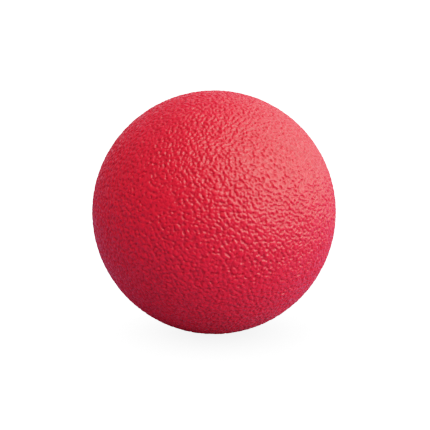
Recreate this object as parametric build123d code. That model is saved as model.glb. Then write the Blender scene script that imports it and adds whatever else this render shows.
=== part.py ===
from build123d import *
from itertools import product
import os

# A solid rubber massage ball, about the size of a lacrosse ball: a dense moulded core held
# between two grained half covers that are cured onto it and onto each other.
# Millimetres. The origin is the ball's centre, +Z is up, and the covers meet on the plane Y = 0,
# with the front cover on the -Y side.

# the whole ball
ball_diameter = 63.5
witness_line_depth = 0.12  # the fine V where the two rims meet, left by the mould's parting line
witness_line_overrun = 1.0  # how far the cutter for that V stands out of the ball

# the core and the knobs that key it to the covers
core_diameter = 46.0
knob_height = 2.4
knob_base_radius = 3.6
knob_tip_radius = 2.6
knob_tip_round = 0.6
knob_root = 1.5  # how far a knob starts below the core's surface, so that the two fuse

# the tongue on the front cover's rim, and the groove it fills in the rear cover
tongue_inner_radius = 26.0
tongue_outer_radius = 28.8
tongue_height = 1.6
tongue_draft = 0.25  # how much each side leans in over the tongue's height

ball_radius = ball_diameter / 2
core_radius = core_diameter / 2


def make_knob(direction):
    """A short round-tipped cone that stands on the core's surface in the given direction."""
    cone = Cone(
        knob_base_radius,
        knob_tip_radius,
        knob_root + knob_height,
        align=(Align.CENTER, Align.CENTER, Align.MIN),
    )
    tip_edge = cone.edges().sort_by(Axis.Z)[-1]
    cone = fillet(tip_edge, knob_tip_round)
    return Plane((0, 0, 0), z_dir=direction) * Pos(0, 0, core_radius - knob_root) * cone


def make_core():
    """The inner ball with a knob towards each corner of a cube, four in each cover."""
    core = Sphere(core_radius)
    for corner in product((-1, 1), repeat=3):
        core += make_knob(corner)
    return core


def make_ring(*profile):
    """A ring about the Y axis, from (radius, y) corners."""
    return revolve(Plane.XY * Polygon(*profile, align=None), Axis.Y)


def make_tongue():
    """The ring on the front cover's rim, with a little draft on both of its sides."""
    return make_ring(
        (tongue_inner_radius, 0),
        (tongue_outer_radius, 0),
        (tongue_outer_radius - tongue_draft, tongue_height),
        (tongue_inner_radius + tongue_draft, tongue_height),
    )


def make_witness_line():
    """The V-shaped ring that bevels the outer edge of both rims."""
    half_width = witness_line_depth + witness_line_overrun
    outside = ball_radius + witness_line_overrun
    return make_ring(
        (ball_radius - witness_line_depth, 0),
        (outside, half_width),
        (outside, -half_width),
    )


def make_half_cover(side, core):
    """Half of the ball on one side of Y = 0, hollowed to fit the core, with its rim bevelled."""
    half_space = Pos(0, side * ball_radius, 0) * Box(ball_diameter, ball_diameter, ball_diameter)
    return (Sphere(ball_radius) & half_space) - core - make_witness_line()


def write_node(name, shape):
    """Writes one sub-part to its own STEP file."""
    shape.label = name
    export_step(shape, f"parts/{name}.step")


os.makedirs("parts", exist_ok=True)
core = make_core()
tongue = make_tongue()
write_node("core", core)
write_node("front_cover", make_half_cover(-1, core) + tongue)
write_node("rear_cover", make_half_cover(1, core) - tongue)
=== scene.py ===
import itertools
import math

import bmesh
import bpy
import numpy as np
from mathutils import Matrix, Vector


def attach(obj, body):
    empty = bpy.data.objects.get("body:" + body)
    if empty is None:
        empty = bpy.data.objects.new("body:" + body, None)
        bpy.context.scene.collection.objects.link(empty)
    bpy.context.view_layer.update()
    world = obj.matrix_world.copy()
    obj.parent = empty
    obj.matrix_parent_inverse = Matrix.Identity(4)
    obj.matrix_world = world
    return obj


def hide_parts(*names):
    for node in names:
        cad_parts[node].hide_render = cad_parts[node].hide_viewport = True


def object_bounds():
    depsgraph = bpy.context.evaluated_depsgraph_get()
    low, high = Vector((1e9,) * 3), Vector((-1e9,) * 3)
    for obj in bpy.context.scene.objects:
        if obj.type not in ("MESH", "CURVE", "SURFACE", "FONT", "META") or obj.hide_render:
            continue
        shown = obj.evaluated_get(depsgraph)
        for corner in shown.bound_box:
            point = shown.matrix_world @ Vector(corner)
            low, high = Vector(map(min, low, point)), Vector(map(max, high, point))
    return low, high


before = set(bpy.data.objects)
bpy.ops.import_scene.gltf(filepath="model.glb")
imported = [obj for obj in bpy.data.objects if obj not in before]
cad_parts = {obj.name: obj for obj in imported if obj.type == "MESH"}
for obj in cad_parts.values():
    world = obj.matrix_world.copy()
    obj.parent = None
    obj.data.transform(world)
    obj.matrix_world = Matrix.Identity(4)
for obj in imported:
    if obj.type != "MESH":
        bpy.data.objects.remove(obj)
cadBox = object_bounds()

# a massage ball: two grained half covers over a solid core, metres, +Z up, covers meet on Y = 0
low, high = cadBox
ballCentre = (low + high) / 2
ballRadius = (high.z - low.z) / 2
millimetre = 0.001


class Wire:
    # a node's output, for plain arithmetic
    def __init__(self, socket):
        self.socket = socket

    def maths(self, operation, *values):
        tree = self.socket.id_data
        node = tree.nodes.new("ShaderNodeMath")
        node.operation = operation
        for socket, value in zip(node.inputs, values):
            feed(tree, socket, value)
        return Wire(node.outputs[0])

    def __add__(self, other):
        return self.maths("ADD", self, other)

    def __sub__(self, other):
        return self.maths("SUBTRACT", self, other)

    def __rsub__(self, other):
        return self.maths("SUBTRACT", other, self)

    def __mul__(self, other):
        return self.maths("MULTIPLY", self, other)

    __radd__ = __add__
    __rmul__ = __mul__


def feed(tree, socket, value):
    if isinstance(value, Wire):
        tree.links.new(value.socket, socket)
    else:
        socket.default_value = value


class Shader:
    # one material's or world's node tree
    def __init__(self, owner):
        owner.use_nodes = True
        self.tree = owner.node_tree
        self.tree.nodes.clear()

    def node(self, kind, settings=None, inputs=None, output=0):
        node = self.tree.nodes.new(kind)
        for name, value in (settings or {}).items():
            setattr(node, name, value)
        for name, value in (inputs or {}).items():
            feed(self.tree, node.inputs[name], value)
        return Wire(node.outputs[output]) if node.outputs else None

    def mix(self, factor, first, second):
        # sockets 6 and 7 take the colours
        settings = {"data_type": "RGBA"}
        return self.node("ShaderNodeMix", settings, {0: factor, 6: first, 7: second}, 2)

    def noise(self, size, detail, roughness=0.5):
        # size is the width of one blotch, in object coordinates
        place = self.node("ShaderNodeTexCoord", output=3)
        inputs = {"Vector": place, "Scale": 1 / size, "Detail": detail, "Roughness": roughness}
        return self.node("ShaderNodeTexNoise", None, inputs)


covers = {
    "sides": {"front_cover": -1, "rear_cover": 1},  # which side of Y = 0 each half lies on
    "cells": 300,  # mesh cells along a quarter turn
    "seeds": {"front_cover": 3, "rear_cover": 8},  # each mould half has a grain of its own
    "relief": 0.42 * millimetre,  # from the deepest groove to a pebble's top
    "pebble": 1.4 * millimetre,  # spacing of the random seats that the pebbles grow from
    "spareSeats": 4,  # rows of seats beyond the ball's surface
    "crease": 0.5,  # how far a crease's side reaches up its pebble, as a share of that spacing
    "creasePinch": 2.2,  # the higher, the sharper the crease
    "dome": 0.12,  # how much of a pebble's height is a rounded top
    "sway": 0.06 * millimetre,  # how far the creases wander off their straight lines
    "swaySeed": 20,  # added to a half's seed
    "waves": 240,  # plane waves that add up to one uneven field
    "shortest": 0.70 * millimetre,
    "longest": 1.23 * millimetre,
    "hollowFloor": -1.5,  # levels of the wave sum between which the hollows' sides rise
    "hollowRim": 0.8,
    "hollowPinch": 1.7,  # above 1 the hollows are narrower than the ground between them
    "hollowShare": 0.55,  # how much of the relief is hollows, the rest is pebbles
    "seamDepth": 0.12 * millimetre,
    "seamWidth": 0.16 * millimetre,
    "plainBand": 0.5 * millimetre,  # the grain fades out this close to the seam
    "linerReach": 0.95,  # share of the radius inside which the CAD cover's own faces are kept
    "linerMerge": 0.001 * millimetre,
    "linerSharp": 30,  # degrees between faces above which the liner's edges stay sharp
}
seamMargin = 0.5 / covers["cells"]  # a quarter of a cell on the cube that the ball is made from


def waveSum(points, seed):
    rng = np.random.default_rng(seed)
    total = np.zeros(len(points), np.float32)
    for _ in range(covers["waves"]):
        direction = rng.normal(size=3)
        direction /= np.linalg.norm(direction)
        length = rng.uniform(covers["shortest"], covers["longest"])
        phase = rng.uniform(0, 2 * math.pi)
        total += np.cos(points @ (direction * 2 * math.pi / length).astype(np.float32) + phase)
    return total / math.sqrt(covers["waves"] / 2)


def smoothStep(values):
    values = np.clip(values, 0, 1)
    return values * values * (3 - 2 * values)


def nearestSeats(points, seed):
    # distances to the nearest and the second nearest seat, with one seat in each cube of a lattice
    reach = int(ballRadius / covers["pebble"]) + covers["spareSeats"]
    seats = np.random.default_rng(seed).uniform(0, 1, (2 * reach, 2 * reach, 2 * reach, 3))
    seats = seats.astype(np.float32)
    scaled = points / covers["pebble"]
    home = np.floor(scaled).astype(int)
    first = np.full(len(points), np.inf, np.float32)
    second = first.copy()
    for step in itertools.product((-1, 0, 1), repeat=3):
        cube = home + step
        gap = np.linalg.norm(scaled - cube - seats[tuple((cube + reach).T)], axis=1)
        second = np.minimum(second, np.maximum(first, gap))
        first = np.minimum(first, gap)
    return first, second


def grainHeight(points, seed):
    # 0 in the deepest grooves, 1 on the highest pebbles
    level = waveSum(points, seed)
    swaySeed = seed + covers["swaySeed"]
    sway = np.stack([waveSum(points, swaySeed + axis) for axis in range(3)], axis=1)
    first, second = nearestSeats(points + sway * covers["sway"], seed)
    crease = (1 - np.clip((second - first) / covers["crease"], 0, 1)) ** covers["creasePinch"]
    dome = 1 - np.clip(first, 0, 1) ** 2
    pebbles = (1 - crease) * (1 - covers["dome"]) + dome * covers["dome"]
    rise = smoothStep((level - covers["hollowFloor"]) / (covers["hollowRim"] - covers["hollowFloor"]))
    ground = 1 - (1 - rise) ** covers["hollowPinch"]
    return pebbles * (1 - covers["hollowShare"]) + ground * covers["hollowShare"]


def cubeShell(side):
    # half a cube on one side of Y = 0, as a fine grid that becomes the cover's outer face
    shell = bmesh.new()
    bmesh.ops.create_cube(shell, size=2)
    bmesh.ops.subdivide_edges(shell, edges=shell.edges[:], cuts=covers["cells"] - 1, use_grid_fill=True)
    spare = [vertex for vertex in shell.verts if vertex.co.y * side < -seamMargin]
    bmesh.ops.delete(shell, geom=spare, context="VERTS")
    return shell


def linerOf(node):
    # the CAD cover without its outer face: the pocket for the core and the jointed rim
    liner = bmesh.new()
    liner.from_mesh(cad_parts[node].data)
    bmesh.ops.remove_doubles(liner, verts=liner.verts[:], dist=covers["linerMerge"])
    reach = ballRadius * covers["linerReach"]
    outer = [vertex for vertex in liner.verts if vertex.co.length > reach]
    bmesh.ops.delete(liner, geom=outer, context="VERTS")
    for edge in liner.edges:
        edge.smooth = edge.calc_face_angle(0) < math.radians(covers["linerSharp"])
    return liner


def ringAround(mesh, inside):
    # the open ring within the liner's reach or beyond it, in order of angle
    reach = ballRadius * covers["linerReach"]
    edges = [edge for edge in mesh.edges if edge.is_boundary]
    edges = [edge for edge in edges if (edge.verts[0].co.length < reach) == inside]
    for edge in edges:
        edge.smooth = False
    return sorted({vertex for edge in edges for vertex in edge.verts}, key=angleRound)


def angleRound(vertex):
    return math.atan2(vertex.co.z, vertex.co.x)


def zipRings(mesh, inner, outer):
    # triangles that fill the flat band between two rings with different counts
    turn = 2 * math.pi

    def angleAt(ring, index):
        laps, place = divmod(index, len(ring))
        return angleRound(ring[place]) + turn * laps

    i = j = 0
    while i < len(inner) or j < len(outer):
        corners = [inner[i % len(inner)], outer[j % len(outer)]]
        innerNext = j == len(outer) or angleAt(inner, i + 1) < angleAt(outer, j + 1)
        if innerNext and i < len(inner):
            i += 1
            corners.append(inner[i % len(inner)])
        else:
            j += 1
            corners.append(outer[j % len(outer)])
        mesh.faces.new(corners)


def makeCover(node):
    shell = cubeShell(covers["sides"][node])
    relief = shell.verts.layers.float.new("relief")
    onCube = np.array([vertex.co for vertex in shell.verts], np.float32)
    points = np.tan(onCube * math.pi / 4)  # evens out the cells on the sphere
    points *= ballRadius / np.linalg.norm(points, axis=1, keepdims=True)
    points[np.abs(onCube[:, 1]) < seamMargin, 1] = 0
    fromSeam = np.abs(points[:, 1])
    height = grainHeight(points, covers["seeds"][node])
    height = 1 - (1 - height) * smoothStep(fromSeam / covers["plainBand"])
    seam = covers["seamDepth"] * np.exp(-((fromSeam / covers["seamWidth"]) ** 2))
    sink = covers["relief"] * (1 - height) + seam
    points *= (1 - sink / ballRadius)[:, None]
    for vertex, place, tall in zip(shell.verts, points, height):
        vertex.co = place
        vertex[relief] = tall
    liner = linerOf(node)
    lining = bpy.data.meshes.new(node + "_liner")
    liner.to_mesh(lining)
    liner.free()
    shell.from_mesh(lining)
    bpy.data.meshes.remove(lining)
    zipRings(shell, ringAround(shell, True), ringAround(shell, False))
    bmesh.ops.recalc_face_normals(shell, faces=shell.faces[:])
    for face in shell.faces:
        face.smooth = True
    data = bpy.data.meshes.new(node + "_grained")
    shell.to_mesh(data)
    shell.free()
    piece = bpy.data.objects.new(node + "_grained", data)
    bpy.context.scene.collection.objects.link(piece)
    data.materials.append(coverRubber())
    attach(piece, "root")
    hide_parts(node)
    return piece


rubber = {
    "colour": (0.63, 0.0022, 0.018, 1),
    # the darker groove colour is painted shade, standing in for the shade that falls into the grooves
    "paintedGrooveShade": (0.41, 0.0020, 0.015, 1),
    "blotch": 9 * millimetre,  # slow drift of the colour
    "drift": 0.05,  # share of the mix towards the painted groove shade that the blotches bring instead
    "driftGain": 4,  # spreads the blotches' narrow range
    "roughness": 0.36,
    "grooveRoughness": 0.12,  # added in the grooves
    "poreRoughness": 0.1,  # how much it varies with the pores
    "poreSize": 0.22 * millimetre,
    "poreDepth": 0.012 * millimetre,
    "ior": 1.5,
}


def coverRubber():
    found = bpy.data.materials.get("cover rubber")
    if found:
        return found
    data = bpy.data.materials.new("cover rubber")
    shader = Shader(data)
    tall = shader.node("ShaderNodeAttribute", {"attribute_name": "relief"}, output=2)
    blotch = shader.noise(rubber["blotch"], 3)
    pores = shader.noise(rubber["poreSize"], 2)
    depth = 1 - tall
    drift = (blotch - 0.5) * rubber["drift"] * rubber["driftGain"]
    # mix factor: painted shade that deepens with the grooves, plus the rubber's own random blotches of
    # tone
    shade = depth * (1 - rubber["drift"]) + drift
    colour = shader.mix(shade, rubber["colour"], rubber["paintedGrooveShade"])
    uneven = (pores - 0.5) * rubber["poreRoughness"]
    rough = depth * rubber["grooveRoughness"] + uneven + rubber["roughness"]
    bump = {"Height": pores * rubber["poreDepth"], "Distance": 1.0}
    normal = shader.node("ShaderNodeBump", None, bump)
    surface = {"Base Color": colour, "Roughness": rough, "Normal": normal, "IOR": rubber["ior"]}
    finish = shader.node("ShaderNodeBsdfPrincipled", None, surface)
    shader.node("ShaderNodeOutputMaterial", None, {"Surface": finish})
    return data


coreRubber = {
    "colour": (0.022, 0.021, 0.020, 1),
    "fleck": (0.060, 0.056, 0.052, 1),
    "fleckSize": 0.8 * millimetre,
    "roughness": 0.7,
    "fleckRoughness": 0.3,  # how much it varies with the flecks
    "skinDepth": 0.05 * millimetre,
}


def dressCore():
    data = bpy.data.materials.new("core rubber")
    shader = Shader(data)
    flecks = shader.noise(coreRubber["fleckSize"], 4)
    colour = shader.mix(flecks, coreRubber["colour"], coreRubber["fleck"])
    rough = coreRubber["roughness"] + (flecks - 0.5) * coreRubber["fleckRoughness"]
    bump = {"Height": flecks * coreRubber["skinDepth"], "Distance": 1.0}
    normal = shader.node("ShaderNodeBump", None, bump)
    surface = {"Base Color": colour, "Roughness": rough, "Normal": normal}
    finish = shader.node("ShaderNodeBsdfPrincipled", None, surface)
    shader.node("ShaderNodeOutputMaterial", None, {"Surface": finish})
    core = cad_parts["core"]
    core.data.materials.clear()
    core.data.materials.append(data)


studio = {
    "floorRadius": 3.0,
    "floorSides": 96,
    "floorColour": (0.33, 0.31, 0.52, 1),  # what the ball is lit by from below
    "white": (1, 1, 1, 1),  # the floor and backdrop as the camera sees them
    "whiteStrength": 1.3,
    "shadowReach": 0.045,  # how far the soft shadow under the ball spreads
    "shadowColour": (0.5, 0.5, 0.5, 1),
    "softboxColour": (0.88, 1.20, 0.98),
    "ambient": 0.31,
    "ambientColour": (1.30, 0.78, 1.06, 1),
}
# each softbox: where it stands seen from the ball (degrees round from the front, degrees up),
# how far off, how wide, and its power
softboxes = {
    "front right": {"round": 34, "up": 37, "away": 0.5, "width": 0.28, "watts": 0.47},
    "low right": {"round": 60, "up": 14, "away": 0.5, "width": 0.36, "watts": 0.73},
    "right": {"round": 90, "up": 18, "away": 0.5, "width": 0.80, "watts": 0.70},
    "high right": {"round": 105, "up": 45, "away": 0.5, "width": 0.80, "watts": 0.98},
    "high front": {"round": 20, "up": 54, "away": 0.5, "width": 0.42, "watts": 0.56},
    "back left": {"round": -170, "up": 20, "away": 0.5, "width": 0.40, "watts": 0.10},
}


def makeFloor():
    disc = bmesh.new()
    sides, radius = studio["floorSides"], studio["floorRadius"]
    bmesh.ops.create_circle(disc, cap_ends=True, segments=sides, radius=radius)
    data = bpy.data.meshes.new("floor")
    disc.to_mesh(data)
    disc.free()
    floor = bpy.data.objects.new("floor", data)
    floor.location.z = low.z
    bpy.context.scene.collection.objects.link(floor)
    material = bpy.data.materials.new("pale floor")
    shader = Shader(material)
    seen = shader.node("ShaderNodeLightPath")
    openness = shader.node("ShaderNodeAmbientOcclusion", None, {"Distance": studio["shadowReach"]}, 1)
    shade = shader.mix(openness, studio["shadowColour"], studio["white"])
    matt = shader.node("ShaderNodeBsdfDiffuse", None, {"Color": studio["floorColour"]})
    bright = {"Color": shade, "Strength": studio["whiteStrength"]}
    glow = shader.node("ShaderNodeEmission", None, bright)
    both = shader.node("ShaderNodeMixShader", None, {0: seen, 1: matt, 2: glow})
    shader.node("ShaderNodeOutputMaterial", None, {"Surface": both})
    data.materials.append(material)


def makeWorld():
    world = bpy.data.worlds.new("studio")
    bpy.context.scene.world = world
    shader = Shader(world)
    seen = shader.node("ShaderNodeLightPath")
    plain = {"Color": studio["ambientColour"], "Strength": studio["ambient"]}
    around = shader.node("ShaderNodeBackground", None, plain)
    bright = {"Color": studio["white"], "Strength": studio["whiteStrength"]}
    white = shader.node("ShaderNodeBackground", None, bright)
    both = shader.node("ShaderNodeMixShader", None, {0: seen, 1: around, 2: white})
    shader.node("ShaderNodeOutputWorld", None, {"Surface": both})


def fromBall(around, up, away):
    # a place by its direction from the ball: 0 is the front, 90 the right-hand side
    around, up = math.radians(around), math.radians(up)
    direction = (math.sin(around) * math.cos(up), -math.cos(around) * math.cos(up), math.sin(up))
    return ballCentre + Vector(direction) * away


def aim(thing, place):
    thing.location = place
    thing.rotation_euler = (place - ballCentre).to_track_quat("Z", "Y").to_euler()
    bpy.context.scene.collection.objects.link(thing)


def makeLights():
    for name, box in softboxes.items():
        lamp = bpy.data.lights.new(name, "AREA")
        lamp.shape = "DISK"
        lamp.size = box["width"]
        lamp.energy = box["watts"]
        lamp.color = studio["softboxColour"]
        softbox = bpy.data.objects.new(name, lamp)
        softbox.visible_camera = False
        aim(softbox, fromBall(box["round"], box["up"], box["away"]))


camera = {
    "round": 0,
    "up": 8,
    "away": 0.21,
    "clipStart": 0.01,
    "ballShare": 0.5683,  # the ball's width as a share of the frame's
    "left": 0.0023,  # how far the ball sits from the frame's middle, as shares of its width
    "raised": 0.0065,
    "sensor": 36,
}


def makeCamera():
    data = bpy.data.cameras.new("camera")
    limb = math.tan(math.asin(ballRadius / camera["away"]))
    data.sensor_width = camera["sensor"]
    data.lens = camera["sensor"] / 2 * camera["ballShare"] / limb
    data.shift_x = camera["left"]
    data.shift_y = -camera["raised"]
    data.clip_start = camera["clipStart"]
    thing = bpy.data.objects.new("camera", data)
    aim(thing, fromBall(camera["round"], camera["up"], camera["away"]))
    bpy.context.scene.camera = thing


# the render's tones: a film-like curve that deepens the shadows and rolls off the highlights
film = {
    "contrast": 1.35,
    "shoulder": 0.25,
    "steps": 24,
}


def tone(light):
    lifted = light ** film["contrast"]
    return (1 + film["shoulder"]) * lifted / (lifted + film["shoulder"])


def setTones():
    settings = bpy.context.scene.view_settings
    settings.view_transform = "Standard"
    settings.use_curve_mapping = True
    curve = settings.curve_mapping.curves[3]  # the one for all three channels
    for step in range(1, film["steps"]):
        light = (step / film["steps"]) ** 2
        curve.points.new(light, tone(light)).handle_type = "VECTOR"
    settings.curve_mapping.update()


setTones()
makeCamera()
makeLights()
makeWorld()
makeFloor()
print("studio ready")
for node in covers["sides"]:
    piece = makeCover(node)
    print(piece.name, "has", len(piece.data.polygons), "faces")
dressCore()
print("materials ready")
